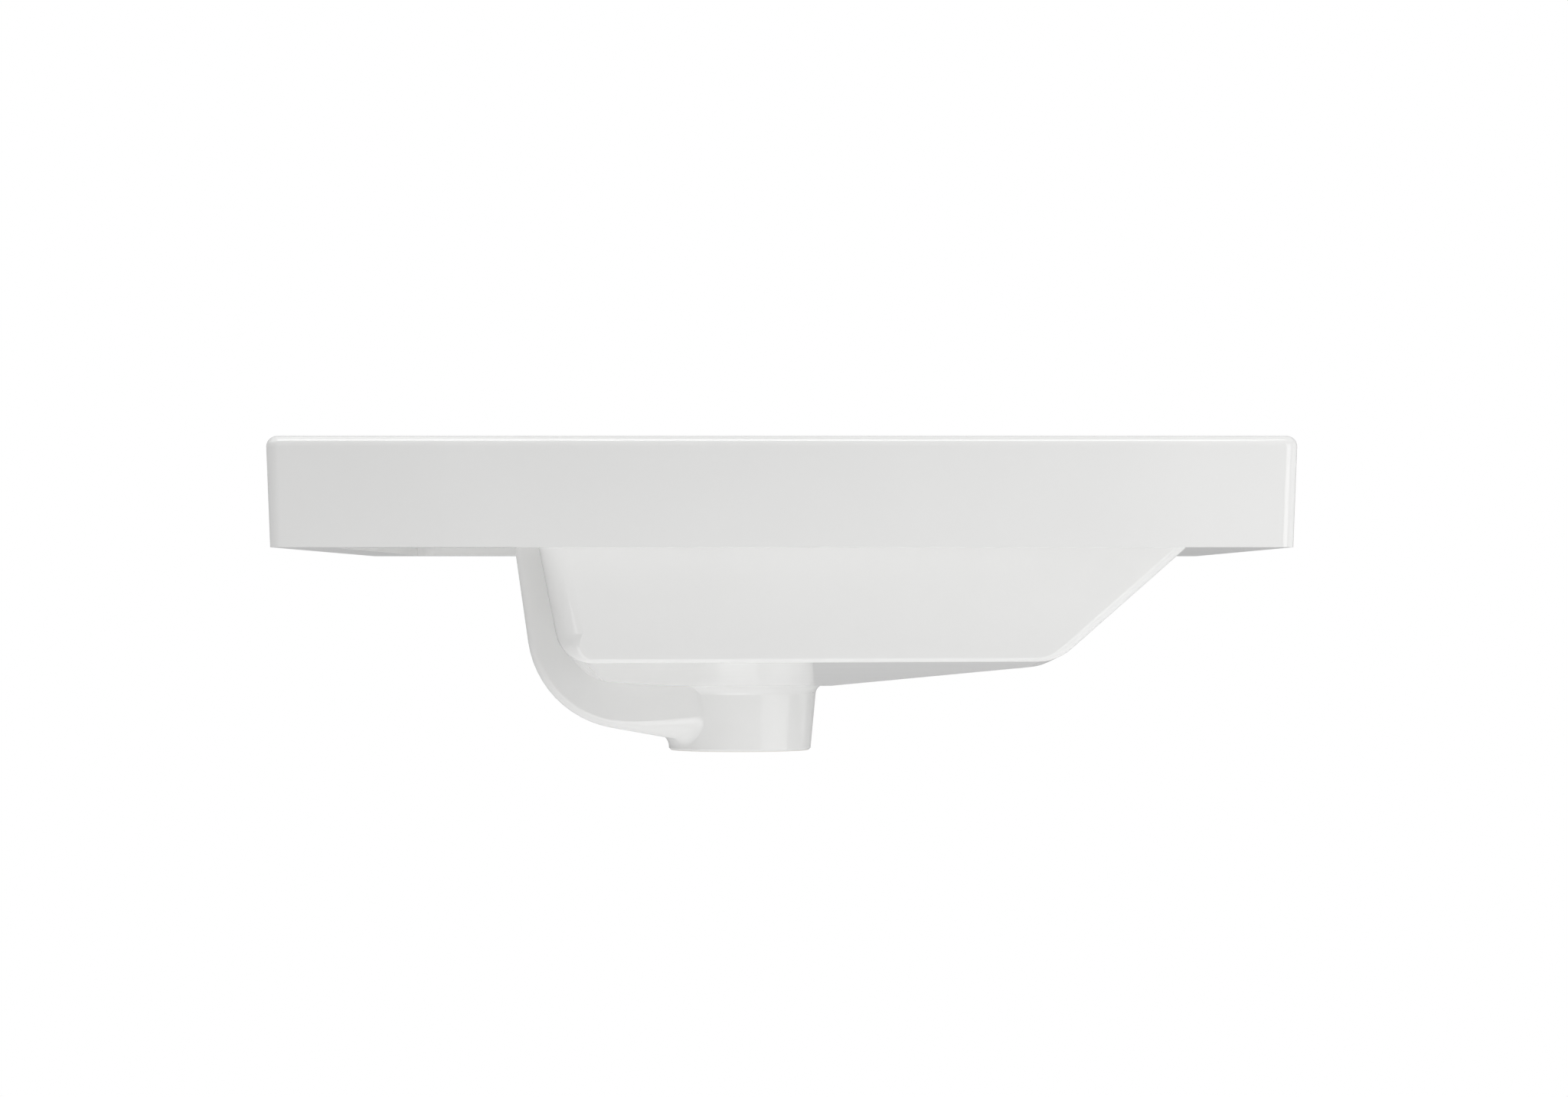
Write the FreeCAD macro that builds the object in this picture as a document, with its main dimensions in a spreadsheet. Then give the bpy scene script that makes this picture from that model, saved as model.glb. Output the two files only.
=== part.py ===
import FreeCAD, Part
import math
import os
import Sketcher

# Inset basin: one slip-cast ceramic bowl with its own overflow duct, an overflow trim ring pushed
# into it, and the upper half of a push-button waste in its drain.
# Frame: the drain axis is Z, heights count up from the underside of the waste boss,
# +Y points to the back (the tap deck) and +X is to the right of someone who uses the basin.

# Driving sizes: millimetres and degrees.
DRIVING = [
    ("basin_width", "470", "overall width of the rim"),
    ("basin_depth", "440", "overall depth of the rim, front to back"),
    ("total_height", "142", "rim top above the underside of the waste boss"),
    ("rim_height", "47.5", "height of the flat-sided rim"),
    ("rim_draft", "2", "inward lean of the rim's sides, towards the bottom"),
    ("rim_corner_radius", "5.5", "upright corners of the rim"),
    ("rim_edge_radius", "4.5", "top outer edge of the rim"),
    ("drain_to_back", "199", "drain axis to the rim's back edge"),
    ("deck_thickness", "15", "tap deck"),
    ("skirt_back", "28", "closed foot of the rim along the back"),
    ("skirt_side", "32", "closed foot of the rim along the sides"),
    ("hollow_corner_radius", "10", "upright corners of the hollow under the deck"),
    ("bowl_wall", "11", "ceramic wall of the bowl"),
    ("back_setback", "114", "back edge to the bowl's back wall, at the rim's underside"),
    ("back_draft", "10.9", "lean of the bowl's back wall"),
    ("front_setback", "45", "front edge to the bowl's sloping front, at the rim's underside"),
    ("front_slope", "41.7", "rise of the bowl's front above the horizontal"),
    ("side_draft", "8", "lean of the bowl's side walls"),
    ("side_foot", "44.8", "lower edge of the bowl's side walls, beside the drain"),
    ("side_rise", "0.2", "rise of that edge towards the front"),
    ("floor_height", "31.4", "underside of the bowl's floor at the drain"),
    ("back_foot", "35.2", "underside of the bowl's floor at the foot of its back wall"),
    ("front_foot", "43.2", "underside of the bowl's floor at the foot of its sloping front"),
    ("land_margin", "1", "level underside in front of the boss's root"),
    ("outer_back_radius", "17", "underside edge along the back wall"),
    ("outer_front_radius", "22", "underside edge along the sloping front"),
    ("outer_side_radius", "2", "underside edge along the side walls"),
    ("back_corner_radius", "13", "upright corners outside the bowl, at the back"),
    ("front_corner_radius", "4", "upright corners outside the bowl, along the sloping front"),
    ("front_land", "28", "rim width at the front"),
    ("bowl_round", "24", "rounds between the walls and the floor inside the bowl"),
    ("bowl_lip_radius", "6", "round of the rim into the bowl"),
    ("boss_radius", "33.8", "waste boss at its underside"),
    ("boss_draft", "5.4", "taper of the waste boss"),
    ("boss_edge", "1", "broken lower edge of the waste boss"),
    ("boss_wall", "6.8", "ceramic wall round the chamber in the boss"),
    ("boss_root_radius", "5", "round of the boss into the underside"),
    ("duct_bulge", "20.7", "overflow duct beyond the bowl's back wall, at the rim's underside"),
    ("duct_draft", "8.1", "lean of the overflow duct's back"),
    ("duct_inset", "2.8", "side of the overflow duct inside the boss's own side"),
    ("duct_foot", "6.4", "underside of the duct where it meets the boss"),
    ("duct_fall", "10.5", "fall of the duct's underside to the boss"),
    ("duct_bend_radius", "48", "bend of the duct, outside"),
    ("duct_edge_radius", "4", "long edges of the duct"),
    ("duct_boss_radius", "17", "the same edges where the duct runs into the boss"),
    ("duct_wall", "9", "ceramic wall of the overflow duct"),
    ("overflow_drop", "36", "rim top to the overflow hole's centre"),
    ("overflow_radius", "11", "overflow hole"),
    ("tap_setback", "58", "back edge to the tap hole's centre"),
    ("tap_radius", "17.5", "tap hole"),
    ("outlet_wall", "10", "floor of the waste boss"),
    ("waste_radius", "23", "waste holes in the bowl's floor and in the boss"),
    ("seat_depth", "5", "waste seat below the bowl's floor"),
    ("seat_radius", "33", "waste seat"),
    ("seat_flare", "4", "flare of the seat's upper edge"),
    ("gasket_thickness", "2", "flat of the waste gasket"),
    ("gasket_radius", "30", "rim of the waste gasket"),
    ("flange_thickness", "3", "flange of the waste cup"),
    ("flange_radius", "31.5", "flange of the waste cup"),
    ("flange_edge", "1.2", "broken upper edge of the flange"),
    ("tail_radius", "20", "tube of the waste cup, outside"),
    ("tail_bore", "17.5", "tube of the waste cup, inside"),
    ("plug_recess_depth", "1.5", "recess for the plug in the flange"),
    ("plug_radius", "23.5", "plug cap"),
    ("plug_edge", "1.8", "upright edge of the plug cap"),
    ("plug_crown", "1.4", "height of the plug cap's bevel above its edge"),
    ("plug_bevel", "2.4", "width of the plug cap's bevel"),
    ("plug_hub_radius", "5.5", "hub under the plug cap"),
    ("plug_hub_depth", "6", "hub under the plug cap"),
    ("plug_travel", "7.5", "lift of the plug from closed to open"),
    ("seal_thickness", "3", "plug seal"),
    ("spider_thickness", "3", "arms across the waste cup"),
    ("spider_arms", "3", "arms across the waste cup, with an overflow slot between each two"),
    ("spider_arm_width", "4", "arms across the waste cup"),
    ("spider_hub_radius", "7", "hub that the arms carry"),
    ("slot_width", "14", "overflow slots in the waste cup's tube"),
    ("slot_height", "8", "overflow slots in the waste cup's tube"),
    ("slot_clear", "1", "overflow slots above the arms, and below the top of the chamber's wall"),
    ("barrel_radius", "8", "cartridge barrel, outside"),
    ("barrel_bore", "5.2", "cartridge barrel, inside"),
    ("barrel_floor", "2.5", "floor of the cartridge barrel"),
    ("barrel_cap_thickness", "1.8", "cap of the cartridge barrel"),
    ("stem_radius", "4", "plug stem"),
    ("stem_tip_radius", "3", "threaded tip of the plug stem"),
    ("stem_tip_length", "4.5", "threaded tip of the plug stem"),
    ("stem_collar", "1.2", "thickness of the stem's collar"),
    ("spring_wire", "0.7", "wire diameter of the cartridge spring"),
    ("spring_sides", "5", "flats drawn round the spring's wire"),
    ("spring_turns", "3", "turns of the cartridge spring"),
    ("spring_pitch", "1.6", "height of one turn while the plug is down"),
    ("spring_radius", "4.2", "middle of the wire from the spring's axis"),
    ("screw_radius", "2", "screw that holds the cartridge"),
    ("screw_depth", "1.6", "bite of the screw into the barrel's floor"),
    ("screw_head_radius", "3.8", "head of the cartridge screw"),
    ("screw_head_height", "1.8", "head of the cartridge screw"),
    ("screw_slot_width", "1", "slot of the cartridge screw"),
    ("screw_slot_depth", "0.9", "slot of the cartridge screw"),
    ("trim_radius", "15.5", "flange of the overflow ring"),
    ("trim_thickness", "2.4", "flange of the overflow ring"),
    ("trim_edge", "0.9", "broken front edge of the overflow ring"),
    ("trim_bore", "8.2", "opening of the overflow ring"),
    ("trim_tube_radius", "9.6", "tube of the overflow ring"),
    ("trim_tube_length", "10", "tube of the overflow ring"),
    ("grip_length", "8", "soft sleeve round the ring's tube"),
    ("fit_gap", "0.1", "clearance between parts that are pushed together"),
    ("running_gap", "0.3", "clearance round parts that move"),
    ("overshoot", "10", "how far cutting forms pass the faces that they cut"),
]

# Sizes that follow from the driving ones.
DERIVED = [
    ("half_width", "=basin_width / 2"),
    ("back_edge", "=drain_to_back"),
    ("front_edge", "=drain_to_back - basin_depth"),
    ("rim_under", "=total_height - rim_height"),
    ("rim_inset", "=rim_height * tan(rim_draft)"),
    ("rim_low_x", "=half_width - rim_inset"),
    ("rim_low_front", "=front_edge + rim_inset"),
    ("rim_low_back", "=back_edge - rim_inset"),
    ("deck_under", "=total_height - deck_thickness"),
    ("above_rim", "=total_height + overshoot"),
    ("rim_below", "=rim_under - overshoot"),
    # Outside of the bowl: back wall, sloping front, side walls and floor.
    ("back_foot_y", "=back_edge - back_setback"),
    ("back_lean", "=tan(back_draft)"),
    ("front_foot_y", "=front_edge + front_setback"),
    ("front_run", "=1 / tan(front_slope)"),
    ("side_foot_x", "=half_width - skirt_side"),
    ("side_lean", "=tan(side_draft)"),
    ("floor_land", "=boss_top_radius + boss_root_radius + land_margin"),
    ("floor_back_y", "=back_foot_y - back_lean * (rim_under - back_foot)"),
    ("floor_front_y", "=front_foot_y + front_run * (rim_under - front_foot)"),
    ("floor_grade", "=(floor_height - front_foot) / (floor_front_y + floor_land)"),
    ("side_low_x", "=side_foot_x - side_lean * (rim_under - side_foot)"),
    ("side_high_x", "=side_foot_x + side_lean * overshoot"),
    ("side_high_z", "=rim_under + overshoot"),
    ("floor_tip", "=side_foot - (side_foot - floor_height) * side_low_x / (side_low_x - floor_land)"),
    # Inside of the bowl.
    ("inner_back_y", "=back_foot_y - bowl_wall / cos(back_draft)"),
    ("inner_back_top", "=inner_back_y + back_lean * (above_rim - rim_under)"),
    ("inner_floor", "=floor_height + bowl_wall"),
    ("inner_floor_back", "=inner_back_y - back_lean * (rim_under - inner_floor)"),
    ("inner_side_foot", "=side_foot + bowl_wall"),
    ("inner_lip_y", "=front_edge + front_land"),
    ("inner_front_low", "=front_foot_y + front_run * (rim_under - inner_side_foot)"
                        " + bowl_wall / sin(front_slope)"),
    ("inner_front_run", "=(inner_front_low - inner_lip_y) / (total_height - inner_side_foot)"),
    ("inner_front_top", "=inner_lip_y - inner_front_run * overshoot"),
    ("inner_front_z", "=(inner_floor - floor_grade * (floor_land + inner_lip_y"
                      " + inner_front_run * total_height)) / (1 - floor_grade * inner_front_run)"),
    ("inner_front_y", "=inner_lip_y + inner_front_run * (total_height - inner_front_z)"),
    ("inner_side_top", "=side_foot_x - bowl_wall / cos(side_draft) + side_lean * (above_rim - rim_under)"),
    ("inner_side_low", "=inner_side_top - side_lean * (above_rim - inner_side_foot)"),
    ("inner_side_high", "=inner_side_top + side_lean * overshoot"),
    ("inner_high_z", "=above_rim + overshoot"),
    ("inner_tip", "=inner_side_foot - (inner_side_foot - inner_floor) * inner_side_low"
                  " / (inner_side_low - floor_land)"),
    # Hollow under the tap deck.
    ("hollow_back", "=back_edge - skirt_back"),
    ("hollow_front_top", "=back_foot_y + back_lean * (deck_under - rim_under)"),
    ("hollow_front_low", "=back_foot_y - back_lean * overshoot"),
    ("tap_y", "=back_edge - tap_setback"),
    ("tap_cut_z", "=deck_under - deck_thickness / 2"),
    ("tap_cut_height", "=2 * deck_thickness"),
    # Overflow duct, outside and inside.
    ("duct_half_width", "=boss_radius - duct_inset"),
    ("duct_lean", "=tan(duct_draft)"),
    ("duct_grade", "=tan(duct_fall)"),
    ("duct_top", "=deck_under + deck_thickness / 3"),
    ("duct_foot_y", "=back_foot_y + duct_bulge"),
    ("duct_top_y", "=duct_foot_y + duct_lean * (duct_top - rim_under)"),
    ("duct_corner_y", "=(duct_foot_y - duct_lean * (rim_under - duct_foot + duct_grade * boss_radius))"
                      " / (1 - duct_lean * duct_grade)"),
    ("duct_corner_z", "=duct_foot + duct_grade * (duct_corner_y - boss_radius)"),
    ("duct_end_y", "=boss_radius / 4"),
    ("duct_end_z", "=duct_foot - duct_grade * (boss_radius - duct_end_y)"),
    ("duct_root_z", "=floor_height + bowl_wall / 2"),
    ("duct_root_y", "=back_foot_y - bowl_wall / 2 - back_lean * (rim_under - duct_root_z)"),
    ("duct_root_top", "=duct_root_y + back_lean * (duct_top - duct_root_z)"),
    ("overflow_z", "=total_height - overflow_drop"),
    ("overflow_y", "=inner_back_y + back_lean * (overflow_z - rim_under)"),
    ("passage_top", "=overflow_z + overflow_radius"),
    ("passage_drop", "=duct_wall / cos(duct_draft)"),
    ("passage_lift", "=duct_wall / cos(duct_fall)"),
    ("passage_top_y", "=duct_foot_y - passage_drop + duct_lean * (passage_top - rim_under)"),
    ("passage_inner_top", "=back_foot_y + back_lean * (passage_top - rim_under)"),
    ("passage_corner_y", "=(duct_foot_y - passage_drop - duct_lean * (rim_under - duct_foot - passage_lift"
                         " + duct_grade * boss_radius)) / (1 - duct_lean * duct_grade)"),
    ("passage_corner_z", "=duct_foot + passage_lift + duct_grade * (passage_corner_y - boss_radius)"),
    ("passage_end_y", "=chamber_radius / 2"),
    ("passage_end_z", "=duct_foot + passage_lift + duct_grade * (passage_end_y - boss_radius)"),
    ("passage_half_width", "=duct_half_width - duct_wall"),
    ("passage_bend_radius", "=duct_bend_radius - duct_wall"),
    ("overflow_reach", "=bowl_wall + duct_bulge / 4"),
    # Waste boss and drain.
    ("chamber_radius", "=boss_radius - boss_wall"),
    ("boss_edge_in", "=boss_radius - boss_edge"),
    ("boss_edge_out", "=boss_radius + boss_edge * tan(boss_draft)"),
    ("boss_top", "=floor_height + bowl_wall / 2"),
    ("boss_top_radius", "=boss_radius + boss_top * tan(boss_draft)"),
    ("seat_z", "=inner_floor - seat_depth"),
    ("seat_flare_z", "=seat_z + seat_depth / 2"),
    ("seat_flare_radius", "=seat_radius + seat_flare"),
    ("seat_flare_top", "=seat_flare_z + seat_flare"),
    ("seat_clear", "=seat_flare_top + overshoot"),
    ("outlet_clear", "=-overshoot"),
    # Waste gasket and cup.
    ("gasket_top", "=seat_z + gasket_thickness"),
    ("gasket_bore", "=tail_radius + fit_gap"),
    ("flange_top", "=gasket_top + flange_thickness"),
    ("flange_edge_z", "=flange_top - flange_edge"),
    ("flange_edge_in", "=flange_radius - flange_edge"),
    ("recess_floor", "=flange_top - plug_recess_depth"),
    ("recess_radius", "=plug_radius + running_gap"),
    ("spider_reach", "=(tail_bore + tail_radius) / 2"),
    ("spider_arm_side", "=spider_arm_width / 2"),
    ("slot_side", "=slot_width / 2"),
    ("screw_hole_radius", "=screw_radius + fit_gap"),
    # Plug, cartridge, spring and screw.
    ("plug_under", "=recess_floor + running_gap"),
    ("plug_shoulder", "=plug_under + plug_edge"),
    ("plug_top", "=plug_shoulder + plug_crown"),
    ("plug_land", "=plug_radius - plug_bevel"),
    ("plug_hub_under", "=plug_under - plug_hub_depth"),
    ("tip_hole_radius", "=stem_tip_radius + fit_gap"),
    ("tip_hole_top", "=plug_hub_under + stem_tip_length + fit_gap"),
    ("seal_under", "=plug_under - seal_thickness"),
    ("seal_radius", "=tail_bore - running_gap"),
    ("seal_bore", "=plug_hub_radius + fit_gap"),
    ("barrel_top", "=plug_hub_under - running_gap - barrel_cap_thickness"),
    ("barrel_cap_top", "=barrel_top + barrel_cap_thickness"),
    ("barrel_cap_bore", "=stem_radius + running_gap"),
    ("collar_top", "=barrel_top - running_gap - plug_travel"),
    ("collar_under", "=collar_top - stem_collar"),
    ("barrel_seat", "=collar_under - spring_turns * spring_pitch - spring_wire"),
    ("spring_start", "=barrel_seat + spring_wire / 2"),
    ("collar_radius", "=barrel_bore - running_gap"),
    ("stem_tip_top", "=plug_hub_under + stem_tip_length"),
    # Arms of the waste cup under the barrel, the slots above them and the chamber round the slots.
    ("spider_top", "=barrel_seat - barrel_floor"),
    ("tail_bottom", "=spider_top - spider_thickness"),
    ("slot_bottom", "=spider_top + slot_clear"),
    ("slot_top", "=slot_bottom + slot_height"),
    ("chamber_roof", "=slot_top + slot_clear"),
    ("chamber_shoulder", "=chamber_roof + (chamber_radius - waste_radius) / 2"),
    ("screw_tip", "=spider_top + screw_depth"),
    ("screw_pocket_top", "=screw_tip + fit_gap"),
    ("screw_head_under", "=tail_bottom - screw_head_height"),
    # Overflow ring and its sleeve, along the overflow hole's own axis.
    ("trim_face", "=fit_gap + trim_thickness"),
    ("trim_edge_z", "=trim_face - trim_edge"),
    ("trim_edge_in", "=trim_radius - trim_edge"),
    ("trim_tube_end", "=fit_gap - trim_tube_length"),
    ("grip_bore", "=trim_tube_radius + fit_gap"),
    ("grip_radius", "=overflow_radius - fit_gap"),
    ("grip_end", "=-grip_length"),
    ("screw_slot_top", "=screw_head_under + screw_slot_depth"),
    ("screw_slot_side", "=screw_slot_width / 2"),
]

doc = FreeCAD.newDocument("inset_basin")
sheet = doc.addObject("Spreadsheet::Sheet", "Sizes")
for row, (alias, text, note) in enumerate(DRIVING, 1):
    sheet.set(f"A{row}", note)
    sheet.set(f"B{row}", text)
    sheet.setAlias(f"B{row}", alias)
for row, (alias, formula) in enumerate(DERIVED, len(DRIVING) + 1):
    sheet.set(f"B{row}", formula)
    sheet.setAlias(f"B{row}", alias)
doc.recompute()


def size(name):
    """Value of a named size, with an optional minus sign in front."""
    if name.startswith("-"):
        return -size(name[1:])
    return 0.0 if name == "0" else float(sheet.get(name))


def term(name):
    """Expression that reads a named size from the sheet."""
    return f"-Sizes.{name[1:]}" if name.startswith("-") else f"Sizes.{name}"


def bind(target, **sizes):
    """Ties properties to named sizes; a double underscore stands for a dot."""
    for prop, name in sizes.items():
        target.setExpression(prop.replace("__", "."), term(name))
    return target


def plane_of(body, role):
    return [feature for feature in body.Origin.OriginFeatures if feature.Role == role][0]


def hold(sketch, kind, axis, curve, name):
    """Holds the start of a curve at a named distance from the sketch's origin."""
    if name == "0":
        sketch.addConstraint(Sketcher.Constraint("PointOnObject", curve, 1, axis))
        return
    index = sketch.addConstraint(Sketcher.Constraint(kind, -1, 1, curve, 1, size(name)))
    label = f"{kind}_{curve}"
    sketch.renameConstraint(index, label)
    sketch.setExpression(f"Constraints.{label}", term(name))


def outline(body, name, role, corners):
    """Closed outline through named corners."""
    sketch = body.newObject("Sketcher::SketchObject", name)
    sketch.AttachmentSupport = (plane_of(body, role), "")
    sketch.MapMode = "FlatFace"
    points = [FreeCAD.Vector(size(x), size(y), 0) for x, y in corners]
    count = len(points)
    for i, start in enumerate(points):
        sketch.addGeometry(Part.LineSegment(start, points[(i + 1) % count]))
    for i in range(count):
        sketch.addConstraint(Sketcher.Constraint("Coincident", i, 2, (i + 1) % count, 1))
    for i, (x, y) in enumerate(corners):
        hold(sketch, "DistanceX", -2, i, x)
        hold(sketch, "DistanceY", -1, i, y)
    doc.recompute()
    return sketch


def prism(name, role, corners, half_length):
    """Outline drawn on one plane and carried the same length to both sides of it."""
    body = doc.addObject("PartDesign::Body", name)
    pad = body.newObject("PartDesign::Pad", f"{name}_pad")
    pad.Profile = outline(body, f"{name}_outline", role, corners)
    pad.SideType = "Symmetric"
    pad.setExpression("Length", f"2 * {term(half_length)}")
    doc.recompute()
    return body


def turned(name, corners):
    """Outline of radius and height, turned once round the upright axis."""
    body = doc.addObject("PartDesign::Body", name)
    turn = body.newObject("PartDesign::Revolution", f"{name}_turn")
    sketch = outline(body, f"{name}_outline", "XZ_Plane", corners)
    turn.Profile = sketch
    turn.ReferenceAxis = (sketch, ["V_Axis"])
    turn.Angle = 360
    doc.recompute()
    return body


def frustum(name, bottom, top, low, high):
    """Block with level rectangles below and above: each is (half width, front, back)."""
    block = doc.addObject("Part::Wedge", name)
    bind(block, Xmin=f"-{bottom[0]}", Xmax=bottom[0], X2min=f"-{top[0]}", X2max=top[0], Ymin=low, Ymax=high)
    for prop, name_of_y in (("Zmin", bottom[2]), ("Zmax", bottom[1]), ("Z2min", top[2]), ("Z2max", top[1])):
        block.setExpression(prop, f"-{term(name_of_y)}")
    block.Placement = FreeCAD.Placement(FreeCAD.Vector(), FreeCAD.Rotation(FreeCAD.Vector(1, 0, 0), 90))
    doc.recompute()
    return block


def combine(kind, name, base, tools):
    """Cut or common of a base with one tool, or a union of several."""
    result = doc.addObject(f"Part::{kind}", name)
    if kind == "MultiFuse":
        result.Shapes = [base, *tools]
    else:
        result.Base = base
        result.Tool = tools[0]
    result.Refine = True
    doc.recompute()
    return result


def rounded(name, base, choose):
    """Rounds the edges for which choose(start, end, middle) names a radius, or one for each end."""
    result = doc.addObject("Part::Fillet", name)
    result.Base = base
    picked = []
    for number, edge in enumerate(base.Shape.Edges, 1):
        middle = edge.valueAt((edge.FirstParameter + edge.LastParameter) / 2)
        start = edge.valueAt(edge.FirstParameter)
        end = edge.valueAt(edge.LastParameter)
        radii = choose(start, end, middle)
        if isinstance(radii, str):
            radii = (radii, radii)
        if radii:
            picked.append((number, size(radii[0]), size(radii[1])))
    result.Edges = picked
    doc.recompute()
    return result


def near(value, name):
    return abs(value - size(name)) < 0.05


def bowl_form(name, side_view, front_view, foot, back, radii):
    """Bowl between a side view and a front view, with its edges rounded.

    foot is the height of the side walls' lower edge beside the drain and back the place of the
    back wall's foot; radii are those of the upright corners at the back and at the front, and of
    the floor's back, front and side edges.
    """
    across = prism(f"{name}_side_view", "YZ_Plane", side_view, "half_width")
    along = prism(f"{name}_front_view", "XZ_Plane", front_view, "basin_depth")
    tilt = "rotation(vector(1; 0; 0); -Sizes.side_rise)"
    along.setExpression("Placement", f"placement(vector(0; 0; 0); {tilt})")
    block = combine("Common", f"{name}_block", across, [along])
    back_corner, front_corner, at_back, at_front, at_side = radii
    top = block.Shape.BoundBox.ZMax
    rise = math.tan(math.radians(size("side_rise")))

    def beside(point):
        """Whether a point lies on a side wall's lower edge."""
        return abs(point.x) > 1 and abs(point.z - size(foot) + rise * point.y) < 1

    def choose(start, end, middle):
        low, high = sorted((start.z, end.z))
        if abs(high - top) < 0.05:
            if high - low < 1:
                return None
            return back_corner if middle.y > 0 else front_corner
        if beside(start) and beside(end) and start.x * end.x > 0 and abs(start.y - end.y) > 1:
            return at_side
        if min(start.y, end.y) > size(back) - 1:
            return at_back
        level = abs(start.y - end.y) < 0.05 and abs(start.z - end.z) < 0.05
        slanted = beside(start) or beside(end)
        in_front = max(start.y, end.y) < -size("floor_land") - 1
        return at_front if in_front and (level or slanted) else None

    return rounded(f"{name}_form", block, choose)


def in_line(point, first, second):
    """Whether a point lies in line with two places named by their depth and height."""
    depth = size(second[0]) - size(first[0])
    rise = size(second[1]) - size(first[1])
    across = (point.y - size(first[0])) * rise - (point.z - size(first[1])) * depth
    return abs(across) < 0.05 * math.hypot(depth, rise)


def duct_form(name, corners, half_width, bend_radius):
    """Bent duct; its second corner is the bend."""
    block = prism(f"{name}_block", "YZ_Plane", corners, half_width)
    bend = corners[1]

    def at_bend(start, finish, middle):
        crosses = start.x * finish.x < 0
        return bend_radius if crosses and near(middle.y, bend[0]) and near(middle.z, bend[1]) else None

    return rounded(name, block, at_bend)


def rim_block():
    """Flat-sided rim with a slight draft, its upright corners and its top edge rounded."""
    block = frustum(
        "rim_frustum",
        ("rim_low_x", "rim_low_front", "rim_low_back"),
        ("half_width", "front_edge", "back_edge"),
        "rim_under",
        "total_height",
    )

    def choose(start, end, middle):
        if abs(start.z - end.z) > 1:
            return "rim_corner_radius"
        return "rim_edge_radius" if near(middle.z, "total_height") else None

    return rounded("rim", block, choose)


def placed_on_wall(body):
    """Sets a form on the overflow hole's axis: its own height runs out of the wall into the bowl."""
    spot = "vector(0; Sizes.overflow_y; Sizes.overflow_z)"
    body.setExpression("Placement", f"placement({spot}; rotation(vector(1; 0; 0); 90 - Sizes.back_draft))")
    doc.recompute()
    return body


# Ceramic casting, outside: rim with the hollow under its deck, bowl, overflow duct and waste boss.
rim = rim_block()
hollow_block = frustum(
    "hollow_frustum",
    ("side_foot_x", "hollow_front_low", "hollow_back"),
    ("side_foot_x", "hollow_front_top", "hollow_back"),
    "rim_below",
    "deck_under",
)
hollow = rounded(
    "hollow",
    hollow_block,
    lambda start, end, middle: "hollow_corner_radius" if abs(start.z - end.z) > 1 else None,
)
hollow_rim = combine("Cut", "hollow_rim", rim, [hollow])

bowl_outside = bowl_form(
    "bowl_outside",
    [
        ("boss_radius", "floor_height"),
        ("floor_back_y", "back_foot"),
        ("back_foot_y", "rim_under"),
        ("front_foot_y", "rim_under"),
        ("floor_front_y", "front_foot"),
        ("-floor_land", "floor_height"),
    ],
    [
        ("0", "floor_tip"),
        ("side_low_x", "side_foot"),
        ("side_high_x", "side_high_z"),
        ("-side_high_x", "side_high_z"),
        ("-side_low_x", "side_foot"),
    ],
    "side_foot",
    "floor_back_y",
    (
        "back_corner_radius",
        "front_corner_radius",
        "outer_back_radius",
        "outer_front_radius",
        "outer_side_radius",
    ),
)

DUCT_CORNERS = [
    ("duct_end_y", "duct_end_z"),
    ("duct_corner_y", "duct_corner_z"),
    ("duct_top_y", "duct_top"),
    ("duct_root_top", "duct_top"),
    ("duct_root_y", "duct_root_z"),
    ("duct_end_y", "duct_root_z"),
]
duct_bent = duct_form("duct_bent", DUCT_CORNERS, "duct_half_width", "duct_bend_radius")


def duct_long_edge(start, end, middle):
    """Edges along the duct's underside, round its bend and up its back."""
    if abs(start.x - end.x) > 0.05:
        return None
    low, bend, top = DUCT_CORNERS[:3]
    radii = ["duct_boss_radius", "duct_edge_radius"]
    if in_line(start, low, bend) and in_line(end, low, bend):
        return radii if start.y < end.y else radii[::-1]
    outer = all(in_line(point, low, bend) or in_line(point, bend, top) for point in (start, end))
    return "duct_edge_radius" if outer else None


duct = rounded("duct", duct_bent, duct_long_edge)
boss = turned(
    "boss",
    [
        ("0", "0"),
        ("boss_edge_in", "0"),
        ("boss_edge_out", "boss_edge"),
        ("boss_top_radius", "boss_top"),
        ("0", "boss_top"),
    ],
)
casting = combine("MultiFuse", "casting", hollow_rim, [bowl_outside, duct, boss])


def boss_root_edge(start, end, middle):
    """Edges where the boss runs into the underside of the bowl and into the duct."""
    if middle.z < size("boss_edge") + 0.5:
        return None
    taper = math.tan(math.radians(size("boss_draft")))
    for point in (start, end, middle):
        if abs(math.hypot(point.x, point.y) - size("boss_radius") - point.z * taper) > 0.05:
            return None
    return "boss_root_radius"


rooted = rounded("rooted", casting, boss_root_edge)

# Ceramic casting, inside: bowl, overflow passage, drain and the holes for the trim ring and the tap.
bowl_inside = bowl_form(
    "bowl_inside",
    [
        ("inner_floor_back", "inner_floor"),
        ("inner_back_top", "above_rim"),
        ("inner_front_top", "above_rim"),
        ("inner_front_y", "inner_front_z"),
        ("-floor_land", "inner_floor"),
    ],
    [
        ("0", "inner_tip"),
        ("inner_side_low", "inner_side_foot"),
        ("inner_side_high", "inner_high_z"),
        ("-inner_side_high", "inner_high_z"),
        ("-inner_side_low", "inner_side_foot"),
    ],
    "inner_side_foot",
    "inner_floor_back",
    ("bowl_round", "bowl_round", "bowl_round", "bowl_round", "bowl_round"),
)
passage = duct_form(
    "passage",
    [
        ("passage_end_y", "passage_end_z"),
        ("passage_corner_y", "passage_corner_z"),
        ("passage_top_y", "passage_top"),
        ("passage_inner_top", "passage_top"),
        ("floor_back_y", "back_foot"),
        ("boss_radius", "chamber_roof"),
        ("passage_end_y", "chamber_roof"),
    ],
    "passage_half_width",
    "passage_bend_radius",
)
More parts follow.
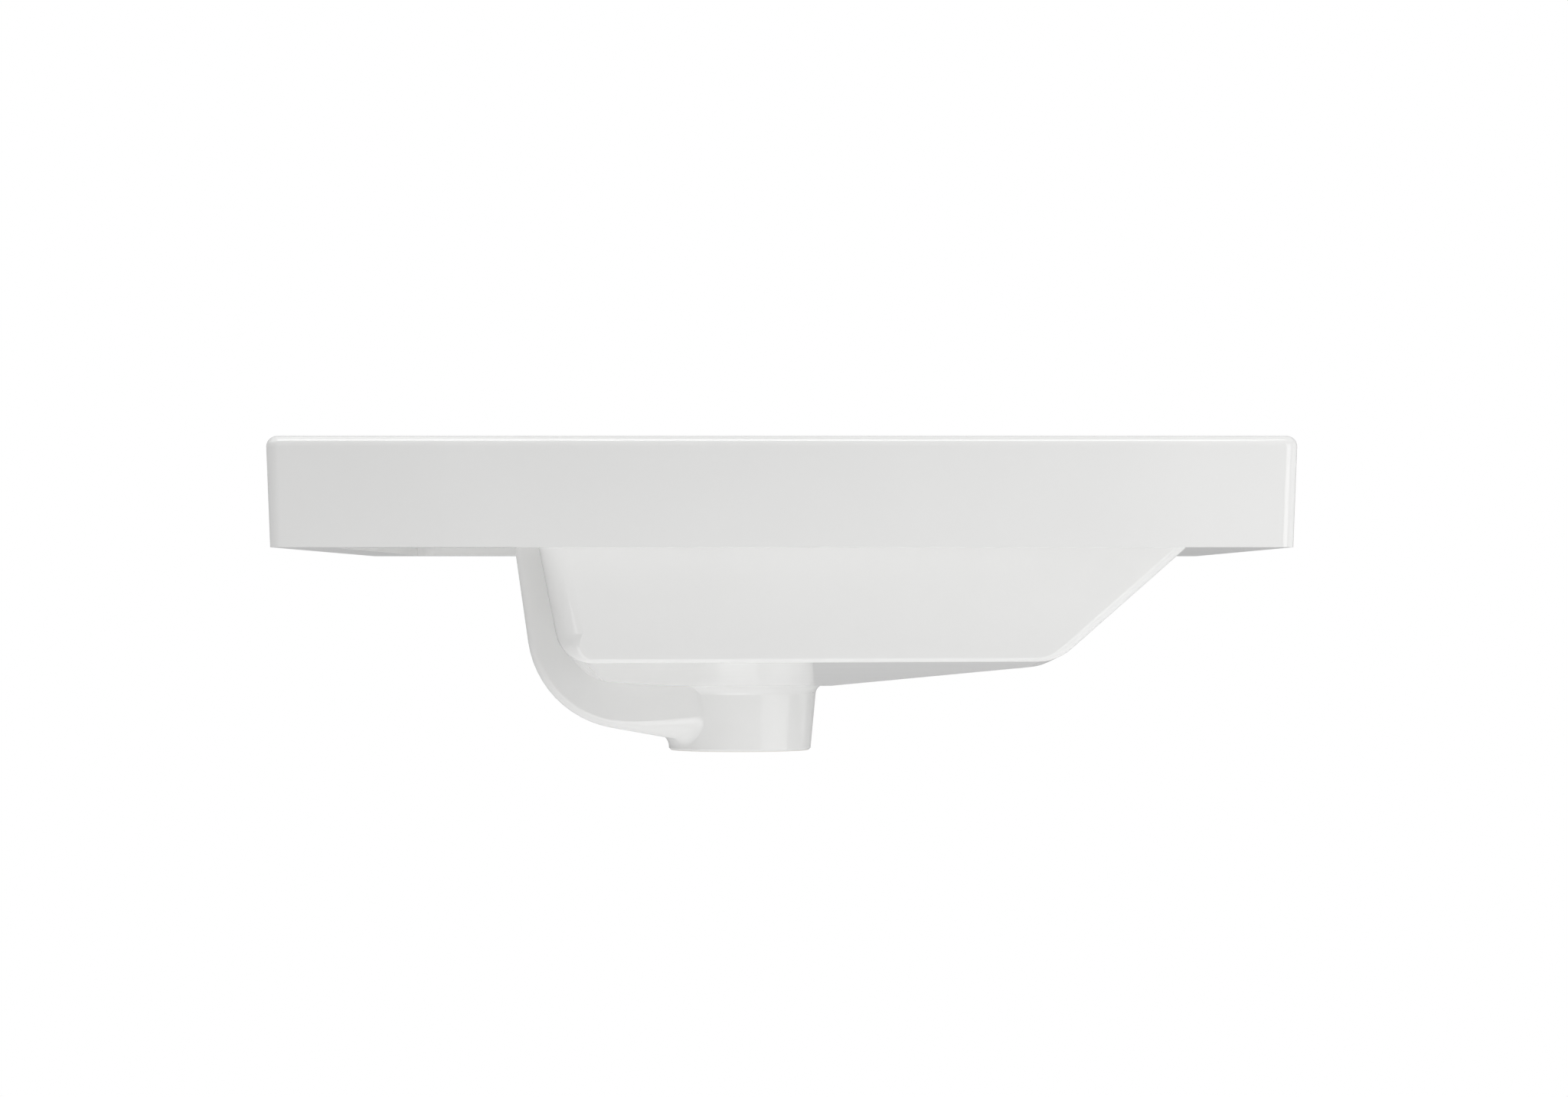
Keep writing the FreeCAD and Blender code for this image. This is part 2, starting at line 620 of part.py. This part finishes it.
drain = turned(
    "drain",
    [
        ("0", "outlet_clear"),
        ("waste_radius", "outlet_clear"),
        ("waste_radius", "outlet_wall"),
        ("chamber_radius", "outlet_wall"),
        ("chamber_radius", "chamber_roof"),
        ("waste_radius", "chamber_shoulder"),
        ("waste_radius", "seat_z"),
        ("seat_radius", "seat_z"),
        ("seat_radius", "seat_flare_z"),
        ("seat_flare_radius", "seat_flare_top"),
        ("seat_flare_radius", "seat_clear"),
        ("0", "seat_clear"),
    ],
)
overflow_hole = placed_on_wall(
    turned(
        "overflow_hole",
        [
            ("0", "-overflow_reach"),
            ("overflow_radius", "-overflow_reach"),
            ("overflow_radius", "overshoot"),
            ("0", "overshoot"),
        ],
    )
)
tap_hole = bind(
    doc.addObject("Part::Cylinder", "tap_hole"),
    Radius="tap_radius",
    Height="tap_cut_height",
    Placement__Base__y="tap_y",
    Placement__Base__z="tap_cut_z",
)
doc.recompute()
hollows = combine("MultiFuse", "hollows", bowl_inside, [passage, drain, overflow_hole, tap_hole])
opened = combine("Cut", "opened", rooted, [hollows])


def lip_edge(start, end, middle):
    """Edge of the rim's top round the bowl."""
    for point in (start, end, middle):
        if not near(point.z, "total_height"):
            return None
        if abs(point.x) > size("inner_side_top") or point.y > size("inner_back_top"):
            return None
    return "bowl_lip_radius"


basin_body = rounded("basin_body", opened, lip_edge)


# Trim ring and its soft sleeve in the overflow hole.
overflow_ring = placed_on_wall(
    turned(
        "overflow_ring",
        [
            ("trim_bore", "trim_tube_end"),
            ("trim_tube_radius", "trim_tube_end"),
            ("trim_tube_radius", "fit_gap"),
            ("trim_radius", "fit_gap"),
            ("trim_radius", "trim_edge_z"),
            ("trim_edge_in", "trim_face"),
            ("trim_bore", "trim_face"),
        ],
    )
)
overflow_sleeve = placed_on_wall(
    turned(
        "overflow_sleeve",
        [
            ("grip_bore", "grip_end"),
            ("grip_radius", "grip_end"),
            ("grip_radius", "-fit_gap"),
            ("grip_bore", "-fit_gap"),
        ],
    )
)

# Waste: gasket on the seat, then the cup with the arms that carry the plug's cartridge.
waste_gasket = turned(
    "waste_gasket",
    [
        ("gasket_bore", "seat_z"),
        ("gasket_radius", "seat_z"),
        ("gasket_radius", "gasket_top"),
        ("gasket_bore", "gasket_top"),
    ],
)
waste_cup = turned(
    "waste_cup",
    [
        ("tail_bore", "tail_bottom"),
        ("tail_radius", "tail_bottom"),
        ("tail_radius", "gasket_top"),
        ("flange_radius", "gasket_top"),
        ("flange_radius", "flange_edge_z"),
        ("flange_edge_in", "flange_top"),
        ("recess_radius", "flange_top"),
        ("recess_radius", "recess_floor"),
        ("tail_bore", "recess_floor"),
    ],
)


def around(body, name, feature, count):
    """Repeats a feature evenly round the upright axis."""
    pattern = body.newObject("PartDesign::PolarPattern", name)
    pattern.Originals = [feature]
    pattern.Axis = (plane_of(body, "Z_Axis"), "")
    pattern.Angle = 360
    bind(pattern, Occurrences=count)
    body.Tip = pattern
    doc.recompute()
    return pattern


def disc(body, name, radius, height):
    """Circle about the upright axis, drawn level at a named height."""
    sketch = body.newObject("Sketcher::SketchObject", name)
    sketch.AttachmentSupport = (plane_of(body, "XY_Plane"), "")
    sketch.MapMode = "FlatFace"
    sketch.setExpression("AttachmentOffset.Base.z", term(height))
    sketch.addGeometry(Part.Circle(FreeCAD.Vector(), FreeCAD.Vector(0, 0, 1), size(radius)))
    sketch.addConstraint(Sketcher.Constraint("Coincident", 0, 3, -1, 1))
    sketch.addConstraint(Sketcher.Constraint("Radius", 0, size(radius)))
    sketch.renameConstraint(1, "radius")
    sketch.setExpression("Constraints.radius", term(radius))
    doc.recompute()
    return sketch


arm = waste_cup.newObject("PartDesign::Pad", "arm")
arm_outline = outline(
    waste_cup,
    "arm_outline",
    "XY_Plane",
    [
        ("-spider_arm_side", "0"),
        ("spider_arm_side", "0"),
        ("spider_arm_side", "spider_reach"),
        ("-spider_arm_side", "spider_reach"),
    ],
)
arm_outline.setExpression("AttachmentOffset.Base.z", term("tail_bottom"))
arm.Profile = arm_outline
bind(arm, Length="spider_thickness")
doc.recompute()
around(waste_cup, "arms", arm, "spider_arms")
hub = waste_cup.newObject("PartDesign::Pad", "hub")
hub.Profile = disc(waste_cup, "hub_outline", "spider_hub_radius", "tail_bottom")
bind(hub, Length="spider_thickness")
doc.recompute()
slot = waste_cup.newObject("PartDesign::Pocket", "slot")
slot.Profile = outline(
    waste_cup,
    "slot_outline",
    "XZ_Plane",
    [
        ("-slot_side", "slot_bottom"),
        ("slot_side", "slot_bottom"),
        ("slot_side", "slot_top"),
        ("-slot_side", "slot_top"),
    ],
)
slot.Reversed = True
bind(slot, Length="tail_radius")
doc.recompute()
around(waste_cup, "slots", slot, "spider_arms")
screw_hole = waste_cup.newObject("PartDesign::Pocket", "screw_hole")
screw_hole.Profile = disc(waste_cup, "screw_hole_outline", "screw_hole_radius", "tail_bottom")
screw_hole.Reversed = True
bind(screw_hole, Length="spider_thickness")
doc.recompute()

# Plug: cap, seal and stem. It rises as one when it is pushed open.
plug_cap = turned(
    "plug_cap",
    [
        ("tip_hole_radius", "plug_hub_under"),
        ("plug_hub_radius", "plug_hub_under"),
        ("plug_hub_radius", "plug_under"),
        ("plug_radius", "plug_under"),
        ("plug_radius", "plug_shoulder"),
        ("plug_land", "plug_top"),
        ("0", "plug_top"),
        ("0", "tip_hole_top"),
        ("tip_hole_radius", "tip_hole_top"),
    ],
)
plug_seal = turned(
    "plug_seal",
    [
        ("seal_bore", "seal_under"),
        ("seal_radius", "seal_under"),
        ("seal_radius", "plug_under"),
        ("seal_bore", "plug_under"),
    ],
)
plug_stem = turned(
    "plug_stem",
    [
        ("0", "collar_under"),
        ("collar_radius", "collar_under"),
        ("collar_radius", "collar_top"),
        ("stem_radius", "collar_top"),
        ("stem_radius", "plug_hub_under"),
        ("stem_tip_radius", "plug_hub_under"),
        ("stem_tip_radius", "stem_tip_top"),
        ("0", "stem_tip_top"),
    ],
)

# Cartridge: barrel, cap, spring and the screw that holds it to the arms.
cartridge_body = turned(
    "cartridge_body",
    [
        ("screw_hole_radius", "spider_top"),
        ("barrel_radius", "spider_top"),
        ("barrel_radius", "barrel_top"),
        ("barrel_bore", "barrel_top"),
        ("barrel_bore", "barrel_seat"),
        ("0", "barrel_seat"),
        ("0", "screw_pocket_top"),
        ("screw_hole_radius", "screw_pocket_top"),
    ],
)
cartridge_cap = turned(
    "cartridge_cap",
    [
        ("barrel_cap_bore", "barrel_top"),
        ("barrel_radius", "barrel_top"),
        ("barrel_radius", "barrel_cap_top"),
        ("barrel_cap_bore", "barrel_cap_top"),
    ],
)


def arc_leaving(start, way, end):
    """Arc that leaves its start along a way and runs to its end."""
    chord = end - start
    lean = way.getAngle(chord)
    middle = (start + end) * 0.5
    crown = start + way * (chord.Length / 2 / math.cos(lean)) - middle
    crown.normalize()
    return Part.Arc(start, middle + crown * (chord.Length / 2 * math.tan(lean / 2)), end)


def winding_arcs(start, start_way, end, end_way):
    """Two arcs that meet without a kink and keep both end directions."""
    span = end - start
    ways = start_way + end_way
    turn = 2 * (1 - start_way.dot(end_way))
    reach = (-span.dot(ways) + math.sqrt(span.dot(ways) ** 2 + turn * span.dot(span))) / turn
    joint = (start + start_way * reach + end - end_way * reach) * 0.5
    back = arc_leaving(end, end_way * -1, joint)
    halfway = back.value((back.FirstParameter + back.LastParameter) / 2)
    return [arc_leaving(start, start_way, joint), Part.Arc(joint, halfway, end)]


def spring_stations():
    """Points and directions along the spring's wire, two to a turn, from the barrel's floor up."""
    radius = size("spring_radius")
    climb = size("spring_pitch") / (2 * math.pi * radius)
    stations = []
    for k in range(2 * round(size("spring_turns")) + 1):
        angle = math.pi * k
        height = size("spring_start") + size("spring_pitch") * k / 2
        way = FreeCAD.Vector(-math.sin(angle), math.cos(angle), climb)
        way.normalize()
        stations.append((FreeCAD.Vector(radius * math.cos(angle), radius * math.sin(angle), height), way))
    return stations


def wire_section(middle, way):
    """Section of the spring's wire, drawn with flats, square to the wire's own way."""
    outward = FreeCAD.Vector(1, 0, 0)
    upward = way.cross(outward)
    count = round(size("spring_sides"))
    corners = []
    for k in range(count + 1):
        angle = 2 * math.pi * k / count
        offset = outward * math.cos(angle) + upward * math.sin(angle)
        corners.append(middle + offset * (size("spring_wire") / 2))
    return Part.makePolygon(corners)


stations = spring_stations()
spring_arcs = []
for (start, start_way), (end, end_way) in zip(stations, stations[1:]):
    spring_arcs += [arc.toShape() for arc in winding_arcs(start, start_way, end, end_way)]
spring_path = Part.Wire(spring_arcs)
spring_section = wire_section(*stations[0])
cartridge_spring = doc.addObject("Part::Feature", "cartridge_spring")
cartridge_spring.Shape = spring_path.makePipeShell([spring_section], True, False)
cartridge_spring.Placement = FreeCAD.Placement()


def spring_gap():
    """Least clear distance between neighbouring turns, measured on points along the wire's middle."""
    wire = spring_path.discretize(Number=40 * round(size("spring_turns")) + 1)
    apart = [
        wire[i].distanceToPoint(wire[j])
        for i in range(len(wire))
        for j in range(i + 20, len(wire))
    ]
    return min(apart) - size("spring_wire")


print(f"least gap between the spring's turns: {spring_gap():.2f} mm")
screw = turned(
    "cartridge_screw",
    [
        ("0", "screw_head_under"),
        ("screw_head_radius", "screw_head_under"),
        ("screw_head_radius", "tail_bottom"),
        ("screw_radius", "tail_bottom"),
        ("screw_radius", "screw_tip"),
        ("0", "screw_tip"),
    ],
)
cross_slot = screw.newObject("PartDesign::Pocket", "cross_slot")
cross_slot.Profile = outline(
    screw,
    "cross_slot_outline",
    "XZ_Plane",
    [
        ("-screw_slot_side", "screw_head_under"),
        ("screw_slot_side", "screw_head_under"),
        ("screw_slot_side", "screw_slot_top"),
        ("-screw_slot_side", "screw_slot_top"),
    ],
)
cross_slot.SideType = "Symmetric"
cross_slot.setExpression("Length", "2 * Sizes.screw_head_radius")
doc.recompute()

PIECES = [
    basin_body,
    overflow_ring,
    overflow_sleeve,
    waste_gasket,
    waste_cup,
    plug_cap,
    plug_seal,
    plug_stem,
    cartridge_body,
    cartridge_cap,
    cartridge_spring,
    screw,
]
doc.recompute()
for item in doc.Objects:
    if "Invalid" in item.State or "Error" in item.State:
        raise RuntimeError(f"{item.Name} failed: {item.State}")
for piece in PIECES:
    shape = piece.Shape
    if shape.isNull() or not shape.isValid() or len(shape.Solids) != 1:
        raise RuntimeError(f"{piece.Label} is not one sound solid")
os.makedirs("parts", exist_ok=True)
for piece in PIECES:
    piece.Shape.exportStep(f"parts/{piece.Label}.step")
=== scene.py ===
import math

import bpy
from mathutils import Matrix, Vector

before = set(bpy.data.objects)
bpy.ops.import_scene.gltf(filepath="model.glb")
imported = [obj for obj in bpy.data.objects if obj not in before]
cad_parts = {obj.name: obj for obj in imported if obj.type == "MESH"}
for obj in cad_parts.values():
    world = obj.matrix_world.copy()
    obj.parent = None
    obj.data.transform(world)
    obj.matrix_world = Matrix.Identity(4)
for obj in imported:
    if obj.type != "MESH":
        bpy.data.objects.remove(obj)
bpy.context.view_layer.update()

# Lengths are in metres unless a name ends in _MM or _PX.
MM = 0.001
# The glaze is wiped off the foot up to this height before firing.
FOOT_BARE = 0.5 * MM
# A wave texture of scale 1 repeats after this length.
WAVE_PERIOD = math.tau / 20


def linear(colour):
    """sRGB hex to linear RGBA, by the standard's curve."""
    channels = [int(colour[i : i + 2], 16) / 255 for i in (1, 3, 5)]
    return [c / 12.92 if c <= 0.04045 else ((c + 0.055) / 1.055) ** 2.4 for c in channels] + [1.0]


def per(size_mm):
    """Texture scale whose features are about this many millimetres across."""
    return 1000 / size_mm


def link(target, **sources):
    """Joins a node's inputs to (node, output) pairs; an underscore stands for a space."""
    for name, (source, output) in sources.items():
        target.id_data.links.new(source.outputs[output], target.inputs[name.replace("_", " ")])


def node(tree, kind, settings=None, **sources):
    """Adds a node with its settings and links."""
    made = tree.nodes.new(kind)
    for name, value in (settings or {}).items():
        if name in made.inputs:
            made.inputs[name].default_value = value
        else:
            setattr(made, name, value)
    link(made, **sources)
    return made


def material(name, **shader):
    """New material: itself, its tree, its shader with these constant values, and its coordinates."""
    made = bpy.data.materials.new(name)
    made.use_nodes = True
    tree = made.node_tree
    surface = tree.nodes["Principled BSDF"]
    for socket, value in shader.items():
        surface.inputs[socket.replace("_", " ")].default_value = value
    return made, tree, surface, node(tree, "ShaderNodeTexCoord")


def glazed_vitreous_china():
    """Slip-cast vitreous china, sprayed with an opaque white glaze and fired.

    The eye gets a neutral white that drifts very slightly, reflections that strengthen at a low angle
    and waver where the glaze levelled in the kiln, and bare matt ceramic on the foot that stood on
    the kiln shelf.
    """
    made, tree, surface, place = material("glazed_vitreous_china", IOR=1.52)
    drift = node(tree, "ShaderNodeTexNoise", {"Scale": per(90), "Detail": 2.0}, Vector=(place, "Object"))
    white = node(
        tree,
        "ShaderNodeMix",
        {"data_type": "RGBA", "A": linear("#EEEEED"), "B": linear("#F4F4F3")},
        Factor=(drift, "Fac"),
    )
    # The bare foot fades in from the glaze's edge down to the underside.
    height = node(tree, "ShaderNodeSeparateXYZ", Vector=(place, "Object"))
    bare = node(
        tree,
        "ShaderNodeMapRange",
        {"From Min": FOOT_BARE, "From Max": 0.0, "To Min": 0.0, "To Max": 1.0},
        Value=(height, "Z"),
    )
    body = node(
        tree,
        "ShaderNodeMix",
        {"data_type": "RGBA", "B": linear("#DAD5CB")},
        Factor=(bare, "Result"),
        A=(white, "Result"),
    )
    gloss = node(
        tree,
        "ShaderNodeMapRange",
        {"From Min": 0.3, "From Max": 0.7, "To Min": 0.03, "To Max": 0.06},
        Value=(drift, "Fac"),
    )
    rough = node(
        tree,
        "ShaderNodeMix",
        {"data_type": "FLOAT", "B": 0.7},
        Factor=(bare, "Result"),
        A=(gloss, "Result"),
    )
    # Glaze waviness: swells a finger's width apart, one or two hundredths of a millimetre high.
    swell = node(tree, "ShaderNodeTexNoise", {"Scale": per(16), "Detail": 0.0}, Vector=(place, "Object"))
    wave = node(tree, "ShaderNodeBump", {"Strength": 0.3, "Distance": 0.05 * MM}, Height=(swell, "Fac"))
    link(surface, Base_Color=(body, "Result"), Roughness=(rough, "Result"), Normal=(wave, "Normal"))
    return made


def chrome_plated_brass():
    """Cast and turned brass, polished and chrome plated.

    The eye gets a mirror with a cool cast, softened here and there by fine wiping haze.
    """
    made, tree, surface, place = material("chrome_plated_brass", Metallic=1.0)
    haze = node(tree, "ShaderNodeTexNoise", {"Scale": per(9), "Detail": 3.0}, Vector=(place, "Object"))
    tint = node(
        tree,
        "ShaderNodeMix",
        {"data_type": "RGBA", "A": linear("#D3D6D9"), "B": linear("#DEE0E2")},
        Factor=(haze, "Fac"),
    )
    rough = node(tree, "ShaderNodeMapRange", {"To Min": 0.03, "To Max": 0.12}, Value=(haze, "Fac"))
    link(surface, Base_Color=(tint, "Result"), Roughness=(rough, "Result"))
    return made


def chrome_plated_abs():
    """Moulded ABS under plated chrome.

    The eye gets a mirror like the waste's, with the slight orange peel of a moulded skin.
    """
    made, tree, surface, place = material("chrome_plated_abs", Metallic=1.0)
    peel = node(tree, "ShaderNodeTexNoise", {"Scale": per(3), "Detail": 1.0}, Vector=(place, "Object"))
    tint = node(
        tree,
        "ShaderNodeMix",
        {"data_type": "RGBA", "A": linear("#CFD3D7"), "B": linear("#DADDE0")},
        Factor=(peel, "Fac"),
    )
    rough = node(tree, "ShaderNodeMapRange", {"To Min": 0.05, "To Max": 0.11}, Value=(peel, "Fac"))
    skin = node(tree, "ShaderNodeBump", {"Strength": 0.15, "Distance": 0.02 * MM}, Height=(peel, "Fac"))
    link(surface, Base_Color=(tint, "Result"), Roughness=(rough, "Result"), Normal=(skin, "Normal"))
    return made


def moulded_nitrile_rubber():
    """Black nitrile rubber, compression moulded.

    The eye gets a soft dull black with a faint grey bloom and a fine spark-eroded grain.
    """
    made, tree, surface, place = material("moulded_nitrile_rubber", IOR=1.52)
    bloom = node(tree, "ShaderNodeTexNoise", {"Scale": per(5), "Detail": 3.0}, Vector=(place, "Object"))
    black = node(
        tree,
        "ShaderNodeMix",
        {"data_type": "RGBA", "A": linear("#161617"), "B": linear("#2A2A2B")},
        Factor=(bloom, "Fac"),
    )
    rough = node(tree, "ShaderNodeMapRange", {"To Min": 0.5, "To Max": 0.72}, Value=(bloom, "Fac"))
    # The mould's grain is about 0.1 mm; it is drawn at 0.6 mm so that it shows.
    grain = node(tree, "ShaderNodeTexNoise", {"Scale": per(0.6), "Detail": 1.0}, Vector=(place, "Object"))
    skin = node(tree, "ShaderNodeBump", {"Strength": 0.4, "Distance": 0.03 * MM}, Height=(grain, "Fac"))
    link(surface, Base_Color=(black, "Result"), Roughness=(rough, "Result"), Normal=(skin, "Normal"))
    return made


def moulded_silicone():
    """Natural silicone rubber, injection moulded.

    The eye gets a milky white that light enters a little way, with a waxy sheen.
    """
    made, tree, surface, place = material(
        "moulded_silicone",
        IOR=1.41,
        Subsurface_Weight=0.35,
        Subsurface_Radius=(1.2 * MM, 1.1 * MM, 1.0 * MM),
        Subsurface_Scale=1.0,
    )
    cloud = node(tree, "ShaderNodeTexNoise", {"Scale": per(4), "Detail": 2.0}, Vector=(place, "Object"))
    milk = node(
        tree,
        "ShaderNodeMix",
        {"data_type": "RGBA", "A": linear("#CFCEC8"), "B": linear("#DEDDD8")},
        Factor=(cloud, "Fac"),
    )
    rough = node(tree, "ShaderNodeMapRange", {"To Min": 0.38, "To Max": 0.5}, Value=(cloud, "Fac"))
    link(surface, Base_Color=(milk, "Result"), Roughness=(rough, "Result"))
    return made


def turned_brass():
    """Free-cutting brass bar, turned on a lathe and left bare.

    The eye gets a warm yellow metal with fine rings from the tool, one above the other.
    """
    made, tree, surface, place = material("turned_brass", Metallic=1.0)
    # The tool's feed is about 0.1 mm; the rings are drawn 0.5 mm apart so that they show.
    rings = node(
        tree,
        "ShaderNodeTexWave",
        {"bands_direction": "Z", "Scale": per(0.5) * WAVE_PERIOD, "Distortion": 0.4, "Detail": 1.0},
        Vector=(place, "Object"),
    )
    yellow = node(
        tree,
        "ShaderNodeMix",
        {"data_type": "RGBA", "A": linear("#B8924C"), "B": linear("#CFAE6A")},
        Factor=(rings, "Fac"),
    )
    rough = node(tree, "ShaderNodeMapRange", {"To Min": 0.2, "To Max": 0.34}, Value=(rings, "Fac"))
    cut = node(tree, "ShaderNodeBump", {"Strength": 0.3, "Distance": 0.02 * MM}, Height=(rings, "Fac"))
    link(surface, Base_Color=(yellow, "Result"), Roughness=(rough, "Result"), Normal=(cut, "Normal"))
    return made


def moulded_acetal():
    """Natural acetal, injection moulded.

    The eye gets a slightly warm, dense white with a satin skin.
    """
    made, tree, surface, place = material("moulded_acetal", IOR=1.48)
    flow = node(tree, "ShaderNodeTexNoise", {"Scale": per(6), "Detail": 2.0}, Vector=(place, "Object"))
    white = node(
        tree,
        "ShaderNodeMix",
        {"data_type": "RGBA", "A": linear("#DCDAD3"), "B": linear("#E8E6E0")},
        Factor=(flow, "Fac"),
    )
    rough = node(tree, "ShaderNodeMapRange", {"To Min": 0.32, "To Max": 0.46}, Value=(flow, "Fac"))
    # The mould's grain is about 0.1 mm; it is drawn at 0.5 mm so that it shows.
    grain = node(tree, "ShaderNodeTexNoise", {"Scale": per(0.5)}, Vector=(place, "Object"))
    skin = node(tree, "ShaderNodeBump", {"Strength": 0.2, "Distance": 0.02 * MM}, Height=(grain, "Fac"))
    link(surface, Base_Color=(white, "Result"), Roughness=(rough, "Result"), Normal=(skin, "Normal"))
    return made


def drawn_stainless_steel():
    """Stainless wire, drawn through a die; the screw is headed from the same wire.

    The eye gets a neutral grey metal whose shine is broken up finely.
    """
    made, tree, surface, place = material("drawn_stainless_steel", Metallic=1.0)
    # Die marks are a few hundredths of a millimetre wide; they are drawn at 0.4 mm so that they show.
    marks = node(tree, "ShaderNodeTexNoise", {"Scale": per(0.4), "Detail": 2.0}, Vector=(place, "Object"))
    grey = node(
        tree,
        "ShaderNodeMix",
        {"data_type": "RGBA", "A": linear("#9C9D9E"), "B": linear("#B7B8B9")},
        Factor=(marks, "Fac"),
    )
    rough = node(tree, "ShaderNodeMapRange", {"To Min": 0.2, "To Max": 0.4}, Value=(marks, "Fac"))
    link(surface, Base_Color=(grey, "Result"), Roughness=(rough, "Result"))
    return made


def matt_emulsion_paint():
    """Emulsion paint, rolled on a floor.

    The eye gets a flat, very pale grey with hardly any mottle.
    """
    made, tree, surface, place = material("matt_emulsion_paint", Roughness=0.8)
    mottle = node(tree, "ShaderNodeTexNoise", {"Scale": per(120), "Detail": 3.0}, Vector=(place, "Object"))
    pale = node(
        tree,
        "ShaderNodeMix",
        {"data_type": "RGBA", "A": linear("#F0F0F0"), "B": linear("#F4F4F4")},
        Factor=(mottle, "Fac"),
    )
    link(surface, Base_Color=(pale, "Result"))
    return made


BRASS_CHROME = chrome_plated_brass()
RUBBER = moulded_nitrile_rubber()
ACETAL = moulded_acetal()
STEEL = drawn_stainless_steel()
FINISHES = {
    "basin_body": glazed_vitreous_china(),
    "overflow_ring": chrome_plated_abs(),
    "overflow_sleeve": moulded_silicone(),
    "waste_gasket": RUBBER,
    "waste_cup": BRASS_CHROME,
    "plug_cap": BRASS_CHROME,
    "plug_seal": RUBBER,
    "plug_stem": turned_brass(),
    "cartridge_body": ACETAL,
    "cartridge_cap": ACETAL,
    "cartridge_spring": STEEL,
    "cartridge_screw": STEEL,
}
for name, finish in FINISHES.items():
    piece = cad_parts[name]
    piece.data.materials.clear()
    piece.data.materials.append(finish)

# The floor lies well below the basin, which hangs in a worktop when it is in use.
FLOOR_HEIGHT = -0.6
FLOOR_RADIUS = 3.4
FLOOR_SIDES = 96
bpy.ops.mesh.primitive_circle_add(
    vertices=FLOOR_SIDES, radius=FLOOR_RADIUS, fill_type="NGON", location=(0, 0, FLOOR_HEIGHT)
)
floor = bpy.context.object
floor.name = "floor"
floor.data.materials.append(matt_emulsion_paint())

# Soft boxes round the basin: place and size, and power in watts. All face the bowl.
BOWL = Vector((0, -0.03, 0.08))
LIGHTS = {
    "over_back": ((-0.3, 0.9, 1.8), (1.9, 1.9), 15),
    "overhead": ((-0.2, -0.1, 2.1), (2.0, 2.0), 1),
    "over_near": ((-0.75, 0.15, 1.8), (1.2, 0.5), 7.5),
    "front": ((0.3, -2.4, 0.5), (2.8, 1.7), 7),
    "near_right": ((-0.75, -0.62, 0.2), (0.4, 0.6), 1.7),
    "low_near": ((-0.95, 0.05, -0.42), (1.2, 0.36), 0.95),
    "strip": ((-0.64, -1.06, -0.26), (1.1, 0.25), 0.42),
    "under_floor": ((-0.2, 0.1, -0.58), (1.6, 1.6), 2.6),
}
# How wide the light leaves each, in degrees. A grid on those that reach down near the floor keeps the edge
# of their light off it.
GRID_SPREADS = {"front": 160, "low_near": 120, "strip": 120}
OPEN_SPREAD = 180
scene = bpy.context.scene
for name, (place, (width, height), power) in LIGHTS.items():
    light = bpy.data.lights.new(name, "AREA")
    light.shape = "RECTANGLE"
    light.size = width
    light.size_y = height
    light.energy = power
    light.spread = math.radians(GRID_SPREADS.get(name, OPEN_SPREAD))
    lamp = bpy.data.objects.new(name, light)
    lamp.location = place
    lamp.rotation_euler = (BOWL - Vector(place)).to_track_quat("-Z", "Y").to_euler()
    lamp.visible_camera = False
    scene.collection.objects.link(lamp)

# The camera sees a white background. The basin is lit by grey surroundings: dark on the camera's side,
# lighter on the far side, where the background stands, and lightest overhead.
BACKGROUND = 1.0
NEAR_SIDE = 0.03
FAR_SIDE = 0.45
OVERHEAD = 0.5
world = bpy.data.worlds.new("studio")
scene.world = world
world.use_nodes = True
studio = world.node_tree
direction = node(studio, "ShaderNodeTexCoord")
axes = node(studio, "ShaderNodeSeparateXYZ", Vector=(direction, "Generated"))
sides = node(
    studio,
    "ShaderNodeMapRange",
    {"From Min": -1.0, "From Max": 1.0, "To Min": NEAR_SIDE, "To Max": FAR_SIDE},
    Value=(axes, "X"),
)
surroundings = node(
    studio,
    "ShaderNodeMapRange",
    {"interpolation_type": "SMOOTHSTEP", "From Min": 0.0, "From Max": 1.0, "To Max": OVERHEAD},
    Value=(axes, "Z"),
    To_Min=(sides, "Result"),
)
ray = node(studio, "ShaderNodeLightPath")
strength = node(
    studio,
    "ShaderNodeMix",
    {"data_type": "FLOAT", "B": BACKGROUND},
    Factor=(ray, "Is Camera Ray"),
    A=(surroundings, "Result"),
)
sky = studio.nodes["Background"]
sky.inputs["Color"].default_value = linear("#FFFFFF")
link(sky, Strength=(strength, "Result"))
scene.view_settings.view_transform = "Standard"

# Camera square on to the basin's left side, at the height of the bowl, with a long lens. The lens's shift
# is counted in pixels of an image this wide.
SENSOR_MM = 36
LENS_MM = 100.8
IMAGE_WIDTH_PX = 2048
SHIFT_X_PX = -20
SHIFT_Y_PX = 57.5
CAMERA_PLACE = (-2.102, -0.0285, 0.0752)
FACING_RIGHT = (math.radians(90), 0, math.radians(-90))
lens = bpy.data.cameras.new("camera")
lens.sensor_width = SENSOR_MM
lens.lens = LENS_MM
lens.shift_x = SHIFT_X_PX / IMAGE_WIDTH_PX
lens.shift_y = SHIFT_Y_PX / IMAGE_WIDTH_PX
camera = bpy.data.objects.new("camera", lens)
camera.location = CAMERA_PLACE
camera.rotation_euler = FACING_RIGHT
scene.collection.objects.link(camera)
scene.camera = camera
